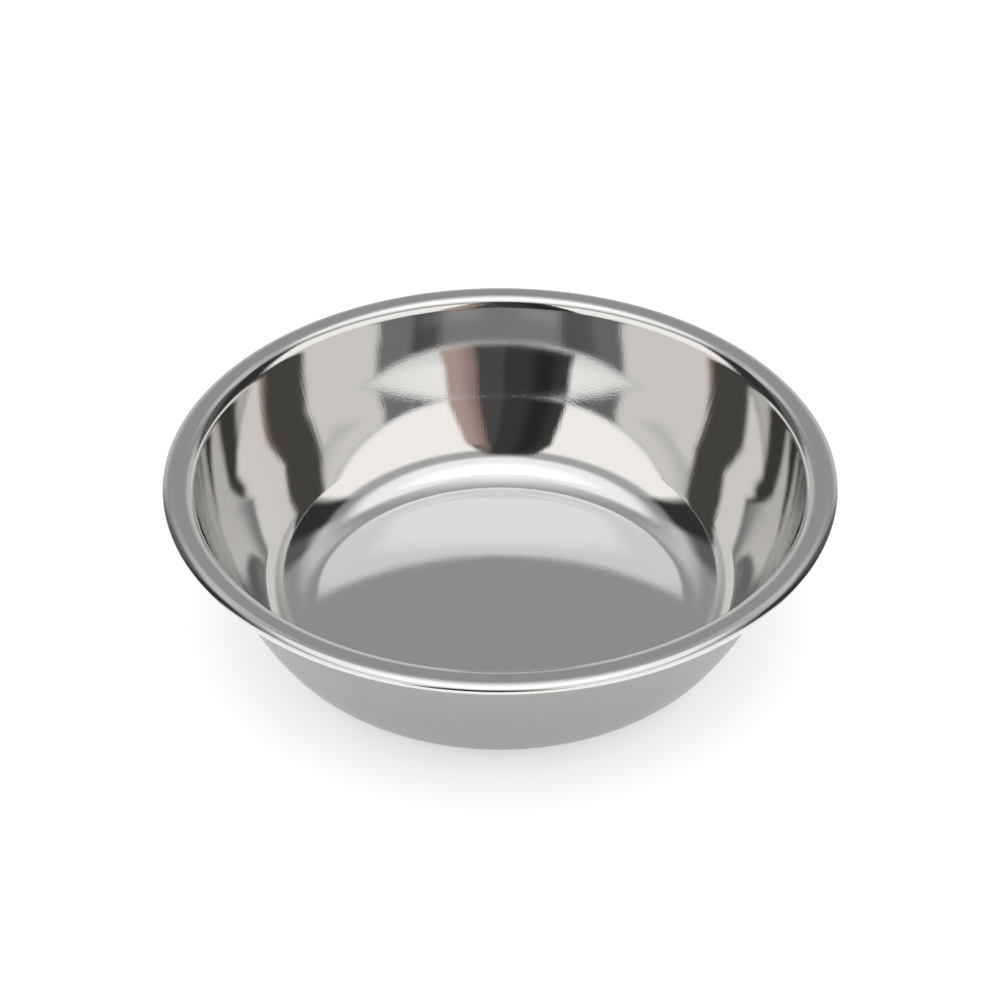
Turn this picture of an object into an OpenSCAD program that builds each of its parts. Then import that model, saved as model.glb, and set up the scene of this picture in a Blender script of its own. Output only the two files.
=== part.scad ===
// Stainless feeding bowl, pressed from one round sheet of steel.
// Millimetres, +Z up, origin at the centre of the standing face.
// The profile is drawn along the face that shows from above, and the sheet lies under it.

/* [Overall] */
// Outer diameter over the folded rim
rim_d = 220; // [190:1:250]
// Height from the table to the top of the lip
bowl_h = 60; // [52:0.5:70]
// Thickness of the sheet
sheet = 0.7; // [0.5:0.1:1]

/* [Floor] */
// Diameter of the flat floor inside, as a share of the rim's diameter
floor_share = 0.5655; // [0.52:0.0005:0.6]
// Inside radius of the bend between floor and wall, as a share of the way out from floor to lip
bottom_bend_share = 0.531; // [0.4:0.001:0.58]

/* [Wall] */
// Radius of the wall's lower sweep, above the bottom bend
lower_sweep_r = 100; // [80:1:115]
// Degrees that the wall steepens through its lower sweep
lower_turn = 9.5; // [8:0.1:12]
// Radius of the wall's upper sweep, below the lip
upper_sweep_r = 127; // [100:1:150]
// Degrees that the wall steepens through its upper sweep
upper_turn = 9.5; // [8:0.1:11]

/* [Rim] */
// Radius of the bend from the wall into the lip, on top
lip_bend_r = 4.7; // [3:0.1:6]
// Width of the flat along the top of the lip
lip_flat_w = 2.2; // [1:0.1:5]
// Radius of the crown, where the lip curves down towards the edge
crown_r = 5.3; // [4:0.1:7]
// Degrees that the lip drops through its crown
crown_turn = 36; // [28:1:44]
// Outside radius of the fold at the edge
fold_r = 1.2; // [1.1:0.05:1.8]
// Slope, in degrees from level, that the edge of the sheet is folded under to
fold_turn = 180; // [160:5:190]
// Width of the hem that lies under the lip, past the fold
fold_w = 2.4; // [1:0.1:4]

/* [Hidden] */
$fn = 180;
// Degrees from point to point round the tight bends and along the wide sweeps
bend_step = 10;
sweep_step = 3;

// Direction to the right of a line that climbs outwards at this slope, which is the sheet's own side
function right_of(slope) = [sin(slope), -cos(slope)];

// Centres of the crown, the fold, the lip bend and the bottom bend
crown_arm = crown_r - fold_r;
crown_c = [rim_d / 2 - fold_r - crown_arm * sin(crown_turn), bowl_h - crown_r];
fold_c = crown_c - crown_arm * right_of(-crown_turn);
lip_c = [crown_c[0] - lip_flat_w, bowl_h - lip_bend_r];
floor_r = floor_share * rim_d / 2;
bottom_bend_r = bottom_bend_share * (lip_c[0] - floor_r);
bottom_c = [floor_r, sheet + bottom_bend_r];

// The wall has a straight band between its two sweeps, and every bend is tangent to the next.
// Its slope follows from how far apart the bottom bend and the lip bend are.
wall_span = lip_c - bottom_c;
low_arm = lower_sweep_r - bottom_bend_r;
high_arm = upper_sweep_r + lip_bend_r;
band_offset = high_arm * cos(upper_turn) - low_arm * cos(lower_turn) + lower_sweep_r - upper_sweep_r;
band_slope = atan2(wall_span[1], wall_span[0]) + asin(band_offset / norm(wall_span));
low_slope = band_slope - lower_turn;
high_slope = band_slope + upper_turn;
low_c = bottom_c - low_arm * right_of(low_slope);
high_c = lip_c - high_arm * right_of(high_slope);
fold_end = fold_c - fold_r * right_of(-fold_turn);

// Stations of one bend: a centre, a radius that is negative where the bend turns down, and two slopes
function bend(centre, r, from, to, step) =
    let (n = ceil(abs(to - from) / step))
    [for (i = [0 : n]) let (s = from + (to - from) * i / n) [centre + r * right_of(s), s]];

stations = concat(
    [[[0, sheet], 0]],
    bend(bottom_c, bottom_bend_r, 0, low_slope, bend_step),
    bend(low_c, lower_sweep_r, low_slope, band_slope, sweep_step),
    bend(high_c, upper_sweep_r, band_slope, high_slope, sweep_step),
    bend(lip_c, -lip_bend_r, high_slope, 0, bend_step),
    bend(crown_c, -crown_r, 0, -crown_turn, bend_step),
    bend(fold_c, -fold_r, -crown_turn, -fold_turn, bend_step),
    [[fold_end + fold_w * [cos(fold_turn), -sin(fold_turn)], -fold_turn]]
);

// Where one bend ends the next begins, so each repeated point is dropped
path = [for (i = [0 : len(stations) - 1])
    if (i == 0 || norm(stations[i][0] - stations[max(i, 1) - 1][0]) > sheet / 1000) stations[i]];
upper_face = [for (s = path) s[0]];
lower_face = [for (i = [len(path) - 1 : -1 : 0]) path[i][0] + sheet * right_of(path[i][1])];

// The whole bowl: floor, bottom bend, flared wall, lip and the edge folded under it are one sheet
module bowl() {
    color([0.74, 0.75, 0.76])
    rotate_extrude()
    polygon(concat(upper_face, lower_face));
}

bowl();
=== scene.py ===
import bpy
import math
import numpy as np
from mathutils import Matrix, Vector


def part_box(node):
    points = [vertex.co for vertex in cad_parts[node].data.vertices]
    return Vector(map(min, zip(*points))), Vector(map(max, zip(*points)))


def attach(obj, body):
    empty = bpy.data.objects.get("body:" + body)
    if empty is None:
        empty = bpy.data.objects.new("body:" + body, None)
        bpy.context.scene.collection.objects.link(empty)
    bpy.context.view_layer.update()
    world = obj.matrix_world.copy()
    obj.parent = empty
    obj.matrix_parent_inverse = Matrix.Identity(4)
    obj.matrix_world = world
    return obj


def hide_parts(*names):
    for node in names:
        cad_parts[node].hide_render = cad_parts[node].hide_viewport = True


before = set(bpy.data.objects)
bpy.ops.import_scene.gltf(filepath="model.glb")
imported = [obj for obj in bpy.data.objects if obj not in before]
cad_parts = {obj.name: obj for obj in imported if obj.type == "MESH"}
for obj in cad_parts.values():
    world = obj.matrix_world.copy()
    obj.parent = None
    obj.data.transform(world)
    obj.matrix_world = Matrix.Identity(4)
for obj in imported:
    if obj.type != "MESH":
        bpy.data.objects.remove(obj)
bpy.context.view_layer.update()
print("frame loaded")

mm = 0.001
samePlace = 1e-6  # millimetres: nearer than this, two points are one

# The bowl's own sizes in millimetres and degrees, the same as in the CAD source.
bowlShape = dict(
    rimD=220.0, height=60.0, sheet=0.7,
    floorShare=0.5655, bottomBendShare=0.531,
    lowerSweepR=100.0, lowerTurn=9.5,
    upperSweepR=127.0, upperTurn=9.5,
    lipBendR=4.7, lipFlat=2.2,
    crownR=5.3, crownTurn=36.0, foldR=1.2, foldTurn=180.0, hem=2.4,
    lipFrom=22.0,  # slope below which the lip's finish takes over from the wall's
    around=480,    # faces round the bowl
    steps=dict(  # points along each stretch of the profile
        floor=28, bottom=48, lower=20, upper=24, turnIn=20, turnOut=8, flat=6, crown=16, fold=34, hem=6),
)


def rightOf(slope):
    # the sheet's own side of a line that climbs outwards at this slope
    a = math.radians(slope)
    return np.array([math.sin(a), -math.cos(a)])


def bend(centre, radius, start, end, count):
    # stations (point, slope) round a bend; a negative radius turns down
    return [(centre + radius * rightOf(s), s) for s in np.linspace(start, end, count)]


def flat(r0, r1, z, count):
    return [(np.array([r, z]), 0.0) for r in np.linspace(r0, r1, count)]


def bowlStations(s):
    # the face that shows from above, from the middle of the floor to the edge folded under
    crownArm = s["crownR"] - s["foldR"]
    crownC = np.array([
        s["rimD"] / 2 - s["foldR"] - crownArm * math.sin(math.radians(s["crownTurn"])),
        s["height"] - s["crownR"]])
    foldC = crownC - crownArm * rightOf(-s["crownTurn"])
    lipC = np.array([crownC[0] - s["lipFlat"], s["height"] - s["lipBendR"]])
    floorR = s["floorShare"] * s["rimD"] / 2
    bottomR = s["bottomBendShare"] * (lipC[0] - floorR)
    bottomC = np.array([floorR, s["sheet"] + bottomR])
    # the wall's two sweeps meet with one slope, found from where its ends have to be
    span = lipC - bottomC
    lowArm = s["lowerSweepR"] - bottomR
    highArm = s["upperSweepR"] + s["lipBendR"]
    offset = highArm * math.cos(math.radians(s["upperTurn"]))
    offset -= lowArm * math.cos(math.radians(s["lowerTurn"]))
    offset += s["lowerSweepR"] - s["upperSweepR"]
    band = math.degrees(math.atan2(span[1], span[0]) + math.asin(offset / np.hypot(*span)))
    low, high = band - s["lowerTurn"], band + s["upperTurn"]
    lowC = bottomC - lowArm * rightOf(low)
    highC = lipC - highArm * rightOf(high)
    end = foldC - s["foldR"] * rightOf(-s["foldTurn"])
    inward = -rightOf(-s["foldTurn"] - 90)
    n = s["steps"]
    hem = [(end + inward * d, -s["foldTurn"]) for d in np.linspace(0, s["hem"], n["hem"])]
    parts = [
        ("inside", flat(0, floorR, s["sheet"], n["floor"])),
        ("inside", bend(bottomC, bottomR, 0, low, n["bottom"])),
        ("inside", bend(lowC, s["lowerSweepR"], low, band, n["lower"])),
        ("inside", bend(highC, s["upperSweepR"], band, high, n["upper"])),
        ("inside", bend(lipC, -s["lipBendR"], high, s["lipFrom"], n["turnIn"])),
        ("rim", bend(lipC, -s["lipBendR"], s["lipFrom"], 0, n["turnOut"])),
        ("rim", flat(lipC[0], crownC[0], s["height"], n["flat"])),
        ("rim", bend(crownC, -s["crownR"], 0, -s["crownTurn"], n["crown"])),
        ("rim", bend(foldC, -s["foldR"], -s["crownTurn"], -s["foldTurn"], n["fold"])),
        ("rim", hem),
    ]
    stations = []
    for zone, run in parts:
        for point, slope in run:
            if stations and np.hypot(*(point - stations[-1][0])) < samePlace:
                stations[-1] = (stations[-1][0], stations[-1][1], zone)
                continue
            stations.append((point, slope, zone))
    return stations


def spinBowl(s):
    # both faces of the sheet, joined at the hem's end, spun into one closed mesh
    stations = bowlStations(s)
    upper = [(p, zone) for p, slope, zone in stations]
    lower = [(p + s["sheet"] * rightOf(slope), "outside" if zone == "inside" else "rim")
             for p, slope, zone in stations]
    loop = upper + lower[::-1]
    n = s["around"]
    angles = np.arange(n) * 2 * math.pi / n
    verts, faces, zones, rings = [], [], [], []
    for (r, z), zone in loop:
        if r < samePlace:
            rings.append([len(verts)] * n)
            verts.append((0.0, 0.0, z * mm))
        else:
            rings.append(list(range(len(verts), len(verts) + n)))
            verts += [(r * mm * math.cos(a), r * mm * math.sin(a), z * mm) for a in angles]
    for i in range(len(loop) - 1):
        a, b = rings[i], rings[i + 1]
        for k in range(n):
            m = (k + 1) % n
            face = [a[k], a[m], b[m], b[k]]
            faces.append([v for j, v in enumerate(face) if v != face[j - 1]])
            zones.append(loop[i + 1][1])
    mesh = bpy.data.meshes.new("bowlSpun")
    mesh.from_pydata(verts, [], [f[::-1] for f in faces])
    mesh.validate()
    mesh.update()
    mesh.polygons.foreach_set("use_smooth", [True] * len(mesh.polygons))
    return mesh, zones


bowlMesh, bowlZones = spinBowl(bowlShape)
print("bowl spun:", len(bowlMesh.polygons), "faces")


# Materials

def newMaterial(name):
    material = bpy.data.materials.new(name)
    material.use_nodes = True
    nodes = material.node_tree.nodes
    nodes.clear()
    out = nodes.new("ShaderNodeOutputMaterial")
    shader = nodes.new("ShaderNodeBsdfPrincipled")
    material.node_tree.links.new(shader.outputs[0], out.inputs[0])
    return material, material.node_tree, shader


def noise(tree, vector, scale, detail=2.0, rough=0.5):
    node = tree.nodes.new("ShaderNodeTexNoise")
    node.inputs["Scale"].default_value = scale
    node.inputs["Detail"].default_value = detail
    node.inputs["Roughness"].default_value = rough
    tree.links.new(vector, node.inputs["Vector"])
    return node.outputs["Fac"]


def remap(tree, value, low, high, toLow, toHigh, smooth=False):
    node = tree.nodes.new("ShaderNodeMapRange")
    node.interpolation_type = "SMOOTHSTEP" if smooth else "LINEAR"
    tree.links.new(value, node.inputs[0])
    for k, v in zip((1, 2, 3, 4), (low, high, toLow, toHigh)):
        node.inputs[k].default_value = v
    return node.outputs[0]


polish = dict(
    color=(0.68, 0.68, 0.675, 1), roughness=0.035,
    peelScale=1800.0, peelDepth=0.000007,  # fine orange peel of drawn sheet
    waveScale=60.0, waveDepth=0.00002,     # slow unevenness that bends reflections
    roughScale=160.0, roughSpread=0.3,
    streaksAround=110.0, streakScale=25.0, streakDepth=0.000006,  # marks that run up the wall
)


noiseRange = (0.3, 0.7)  # what the noise seldom leaves


def unevenRoughness(tree, shader, coords, p):
    low, high = p["roughness"] * (1 - p["roughSpread"]), p["roughness"] * (1 + p["roughSpread"])
    rough = remap(tree, noise(tree, coords, p["roughScale"], 4.0), *noiseRange, low, high)
    tree.links.new(rough, shader.inputs["Roughness"])


def bump(tree, height, depth, under=None):
    node = tree.nodes.new("ShaderNodeBump")
    node.inputs["Distance"].default_value = depth
    tree.links.new(height, node.inputs["Height"])
    if under:
        tree.links.new(under, node.inputs["Normal"])
    return node.outputs[0]


def combine(tree, **values):
    node = tree.nodes.new("ShaderNodeCombineXYZ")
    for axis, value in values.items():
        tree.links.new(value, node.inputs[axis.upper()])
    return node.outputs[0]


def vectorMath(tree, kind, first, *others):
    node = tree.nodes.new("ShaderNodeVectorMath")
    node.operation = kind
    tree.links.new(first, node.inputs[0])
    for k, other in enumerate(others, 1):
        if isinstance(other, tuple):
            node.inputs[k].default_value = other
        else:
            tree.links.new(other, node.inputs[k])
    return node.outputs[0]


def polishedSteel(name, p):
    material, tree, shader = newMaterial(name)
    shader.inputs["Base Color"].default_value = p["color"]
    shader.inputs["Metallic"].default_value = 1
    coords = tree.nodes.new("ShaderNodeTexCoord").outputs["Object"]
    peel = noise(tree, coords, p["peelScale"], 2.0)
    wave = noise(tree, coords, p["waveScale"], 1.0)
    unevenRoughness(tree, shader, coords, p)
    # marks that run up the wall: close together round the bowl, long from floor to lip
    split = tree.nodes.new("ShaderNodeSeparateXYZ")
    tree.links.new(coords, split.inputs[0])
    x, y, z = split.outputs
    outward = vectorMath(tree, "NORMALIZE", combine(tree, x=x, y=y))
    spread = vectorMath(tree, "MULTIPLY_ADD", combine(tree, z=z), (0, 0, p["streakScale"]), outward)
    stretched = vectorMath(tree, "MULTIPLY", spread, (p["streaksAround"], p["streaksAround"], 1))
    normal = bump(tree, peel, p["peelDepth"])
    normal = bump(tree, wave, p["waveDepth"], normal)
    normal = bump(tree, noise(tree, stretched, 1.0, 3.0), p["streakDepth"], normal)
    tree.links.new(normal, shader.inputs["Normal"])
    return material


satin = dict(color=(0.355, 0.355, 0.35, 1), roughness=0.32, roughScale=900.0, roughSpread=0.07)


def satinSteel(name, p):
    material, tree, shader = newMaterial(name)
    shader.inputs["Base Color"].default_value = p["color"]
    shader.inputs["Metallic"].default_value = 1
    coords = tree.nodes.new("ShaderNodeTexCoord").outputs["Object"]
    unevenRoughness(tree, shader, coords, p)
    return material


insideSteel = polishedSteel("insidePolish", polish)
rimSteel = polishedSteel("rimPolish", dict(polish, roughness=0.12, waveDepth=0.0, streakDepth=0.0))
outsideSteel = satinSteel("outsideSatin", satin)
materialOf = {"inside": 0, "rim": 1, "outside": 2}
for material in (insideSteel, rimSteel, outsideSteel):
    bowlMesh.materials.append(material)
for polygon, zone in zip(bowlMesh.polygons, bowlZones):
    polygon.material_index = materialOf[zone]

bowl = bpy.data.objects.new("pressedBowl", bowlMesh)
bpy.context.scene.collection.objects.link(bowl)
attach(bowl, "root")
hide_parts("bowl")
print("bowl finished")

# Floor

floorLook = dict(
    size=4.0, gap=0.00002,  # it lies a hair below the bowl
    color=(0.93, 0.93, 0.93, 1), roughness=0.9, glow=0.42,
)
floorMesh = bpy.data.meshes.new("paleFloor")
half = floorLook["size"] / 2
corners = [(x * half, y * half, 0) for x, y in ((-1, -1), (1, -1), (1, 1), (-1, 1))]
floorMesh.from_pydata(corners, [], [(0, 1, 2, 3)])
floor = bpy.data.objects.new("paleFloor", floorMesh)
bpy.context.scene.collection.objects.link(floor)
floor.location.z = -floorLook["gap"]
material, tree, shader = newMaterial("palePaper")
shader.inputs["Base Color"].default_value = floorLook["color"]
shader.inputs["Roughness"].default_value = floorLook["roughness"]
shader.inputs["Specular IOR Level"].default_value = 0
shader.inputs["Emission Color"].default_value = (1, 1, 1, 1)
shader.inputs["Emission Strength"].default_value = floorLook["glow"]
floorMesh.materials.append(material)
print("floor laid")

# Light: a room of soft patches, each given by azimuth (0 towards the camera,
# positive to its right) and elevation in degrees, with soft edges. A slant
# moves a patch sideways by so many degrees for each degree of height.

allRound, below, above = (-999, 999), -200, 300  # past every angle, so no edge shows there


def grey(v):
    return (v, v, v)


room = dict(
    base=(0.395, 0.385, 0.375),
    backdrop=grey(1.0),
    patches=[
        # behind the bowl: a paler low band, a ceiling that brightens towards the top,
        # and two paler corners between them
        dict(az=allRound, el=(below, 22), soft=(1, 16), color=grey(0.65)),
        dict(az=allRound, el=(74, above), soft=(1, 44), color=grey(1.42)),
        dict(az=(-164, -122), el=(40, 52.5), soft=(18, 12), color=grey(0.72)),
        dict(az=(122, 164), el=(40, 52.5), soft=(18, 12), color=grey(0.72)),
        dict(az=(-138, 138), el=(56, above), soft=(18, 10), color=(1.22, 1.22, 1.21)),
        # the bright front wall, a dim seam above it and the lit ceiling over that
        dict(az=(-93, 93), el=(below, 48), soft=(10, 8), color=(1.25, 1.21, 1.17)),
        dict(az=(-91, 91), el=(43.5, 55), soft=(8, 8), color=grey(0.52)),
        dict(az=(-110, 110), el=(69, above), soft=(20, 10), color=grey(1.5)),
        dict(az=(-93, 93), el=(below, 8), soft=(10, 10), color=(0.82, 0.82, 0.81)),
        # dark ends of the room at either side, less dark towards the back
        dict(az=(-138, -112), el=(below, 40), soft=(12, 12), color=grey(0.15)),
        dict(az=(112, 136), el=(below, 42), soft=(10, 12), color=grey(0.13)),
        dict(az=(-120, -92), el=(below, 47), soft=(10, 8), color=(0.040, 0.041, 0.043)),
        dict(az=(92, 120), el=(below, 47), soft=(10, 8), color=(0.040, 0.041, 0.043)),
        # the dark patch at the front, which deepens to one side, with a warm edge at the other
        dict(az=(4, 24.5), el=(below, 42), soft=(2.5, 8), slant=-0.3, color=(0.54, 0.41, 0.36)),
        dict(az=(-4, 15), el=(below, 42), soft=(9, 8), slant=-0.2, color=(0.31, 0.22, 0.19)),
        dict(az=(4, 23), el=(33, 52), soft=(4, 8), slant=-0.28, color=(0.22, 0.18, 0.16)),
        dict(az=(-9, 10.5), el=(below, 52), soft=(2.5, 8), slant=-0.15, color=(0.088, 0.088, 0.086)),
        dict(az=(-29.5, -3.8), el=(below, 50), soft=(2.5, 8), slant=0.2, color=(0.053, 0.053, 0.052)),
        dict(az=(-23.5, -15), el=(below, 46), soft=(6, 8), slant=0.2, color=grey(0.028)),
    ],
    # the same parts of the room as the steel shows them when it mirrors other steel
    mirroredTwice=[
        dict(az=(-118, -92), el=(20, 47), soft=(8, 8), color=(0.32, 0.32, 0.33)),
        dict(az=(92, 116), el=(20, 47), soft=(8, 8), color=(0.27, 0.27, 0.28)),
        dict(az=(113, 132), el=(20, 47), soft=(6, 8), color=grey(0.18)),
        dict(az=(-27, 12), el=(12, 52), soft=(6, 8), color=(0.115, 0.107, 0.100)),
    ],
    # what lights the floor: most from above, some from the sides, little from low at the front
    skyBase=grey(0.6),
    sky=[
        dict(az=(-135, -40), el=(below, 60), soft=(25, 20), color=grey(1.05)),
        dict(az=(40, 135), el=(below, 60), soft=(25, 20), color=grey(1.05)),
        dict(az=(-45, 45), el=(below, 45), soft=(25, 25), color=grey(0.3)),
        dict(az=allRound, el=(58, above), soft=(1, 16), color=grey(1.45)),
    ],
)


def buildRoom(r):
    world = bpy.data.worlds.new("studioRoom")
    bpy.context.scene.world = world
    world.use_nodes = True
    tree = world.node_tree
    tree.nodes.clear()
    link = tree.links.new

    def calc(kind, *values):
        node = tree.nodes.new("ShaderNodeMath")
        node.operation = kind
        for k, v in enumerate(values):
            if isinstance(v, (int, float)):
                node.inputs[k].default_value = v
            else:
                link(v, node.inputs[k])
        return node.outputs[0]

    way = tree.nodes.new("ShaderNodeTexCoord").outputs["Generated"]
    split = tree.nodes.new("ShaderNodeSeparateXYZ")
    link(way, split.inputs[0])
    x, y, z = split.outputs
    toDegrees = 180 / math.pi
    az = calc("MULTIPLY", calc("ARCTAN2", x, calc("MULTIPLY", y, -1)), toDegrees)
    el = calc("MULTIPLY", calc("ARCSINE", calc("MINIMUM", calc("MAXIMUM", z, -1), 1)), toDegrees)

    def window(value, low, high, soft):
        up = remap(tree, value, low - soft / 2, low + soft / 2, 0, 1, True)
        down = remap(tree, value, high - soft / 2, high + soft / 2, 1, 0, True)
        return calc("MULTIPLY", up, down)

    def blend(amount, color, other):
        mix = tree.nodes.new("ShaderNodeMix")
        mix.data_type = "RGBA"
        link(amount, mix.inputs[0])
        for k, v in ((6, color), (7, other)):
            if isinstance(v, tuple):
                mix.inputs[k].default_value = (*v, 1)
            else:
                link(v, mix.inputs[k])
        return mix.outputs[2]

    def paint(color, patches):
        for p in patches:
            turned = calc("SUBTRACT", az, calc("MULTIPLY", el, p.get("slant", 0)))
            sideways = window(turned, *p["az"], p["soft"][0])
            upright = window(el, *p["el"], p["soft"][1])
            color = blend(calc("MULTIPLY", sideways, upright), color, p["color"])
        return color

    # the camera itself sees the plain backdrop, the floor is lit by the sky, and a ray
    # that has met the steel twice sees the room as mirroredTwice has it
    twice = 1.5
    rays = tree.nodes.new("ShaderNodeLightPath").outputs
    color = paint(r["base"], r["patches"])
    secondMirror = calc("GREATER_THAN", rays["Glossy Depth"], twice)
    color = blend(secondMirror, color, paint(color, r["mirroredTwice"]))
    color = blend(rays["Is Diffuse Ray"], color, paint(r["skyBase"], r["sky"]))
    color = blend(rays["Is Camera Ray"], color, r["backdrop"])
    light = tree.nodes.new("ShaderNodeBackground")
    link(color, light.inputs[0])
    out = tree.nodes.new("ShaderNodeOutputWorld")
    link(light.outputs[0], out.inputs[0])


buildRoom(room)
print("light set")

# Camera, at the photograph's angle: it looks past the middle of the rim

view = dict(
    distance=0.85, elevation=36.37,
    focal=2604.2, rimAt=(500.18, 465.59), frameSize=1000,
    sensor=36.0, clip=(0.05, 100),
)


def placeCamera(v):
    data = bpy.data.cameras.new("photoCamera")
    data.sensor_width = v["sensor"]
    data.lens = v["focal"] / v["frameSize"] * data.sensor_width
    data.clip_start, data.clip_end = v["clip"]
    camera = bpy.data.objects.new("photoCamera", data)
    bpy.context.scene.collection.objects.link(camera)
    bpy.context.scene.camera = camera
    low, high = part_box("bowl")
    target = Vector((0, 0, high.z))
    e = math.radians(v["elevation"])
    camera.location = target + v["distance"] * Vector((0, -math.cos(e), math.sin(e)))
    # turned a little from the rim's middle, so that it lies where the photograph has it
    half = v["frameSize"] / 2
    side = math.atan((v["rimAt"][0] - half) / v["focal"])
    down = e + math.atan((half - v["rimAt"][1]) / v["focal"])
    look = Vector((-math.sin(side) * math.cos(down), math.cos(side) * math.cos(down), -math.sin(down)))
    camera.rotation_mode = "QUATERNION"
    camera.rotation_quaternion = look.to_track_quat("-Z", "Y")


placeCamera(view)
bpy.context.scene.view_settings.view_transform = "Standard"
bpy.context.scene.cycles.glossy_bounces = 12  # polished steel mirrors itself many times over
print("camera placed")
